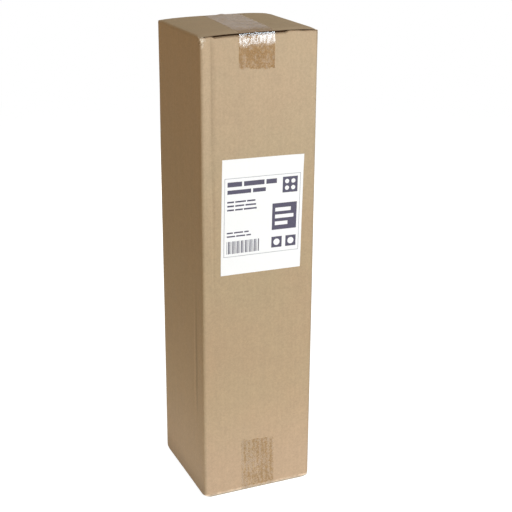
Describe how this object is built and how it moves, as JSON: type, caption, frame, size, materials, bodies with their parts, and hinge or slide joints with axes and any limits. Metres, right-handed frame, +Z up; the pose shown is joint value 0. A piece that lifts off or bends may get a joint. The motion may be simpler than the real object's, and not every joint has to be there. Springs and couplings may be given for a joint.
{
  "type": "sealed corrugated shipping carton",
  "caption": "Tall square kraft carton of air pillow film, closed with clear tape at both ends, with a white printed label on its front.",
  "frame": {"origin": "middle of the underside, on the surface that the carton stands on", "axes": "+X right across the front panel, +Y from the front panel to the back, +Z up"},
  "size_m": [0.155, 0.1553, 0.6201],
  "materials": {
    "kraft_board": "matte",
    "packing_tape": "gloss",
    "label_paper": "satin",
    "slate_ink": "satin",
    "grey_ink": "satin"
  },
  "bodies": {
    "root": {"carton": "kraft_board", "top_tape": "packing_tape", "bottom_tape": "packing_tape", "shipping_label": "label_paper", "label_ink": "slate_ink", "label_rule": "grey_ink"}
  },
  "joints": []
}
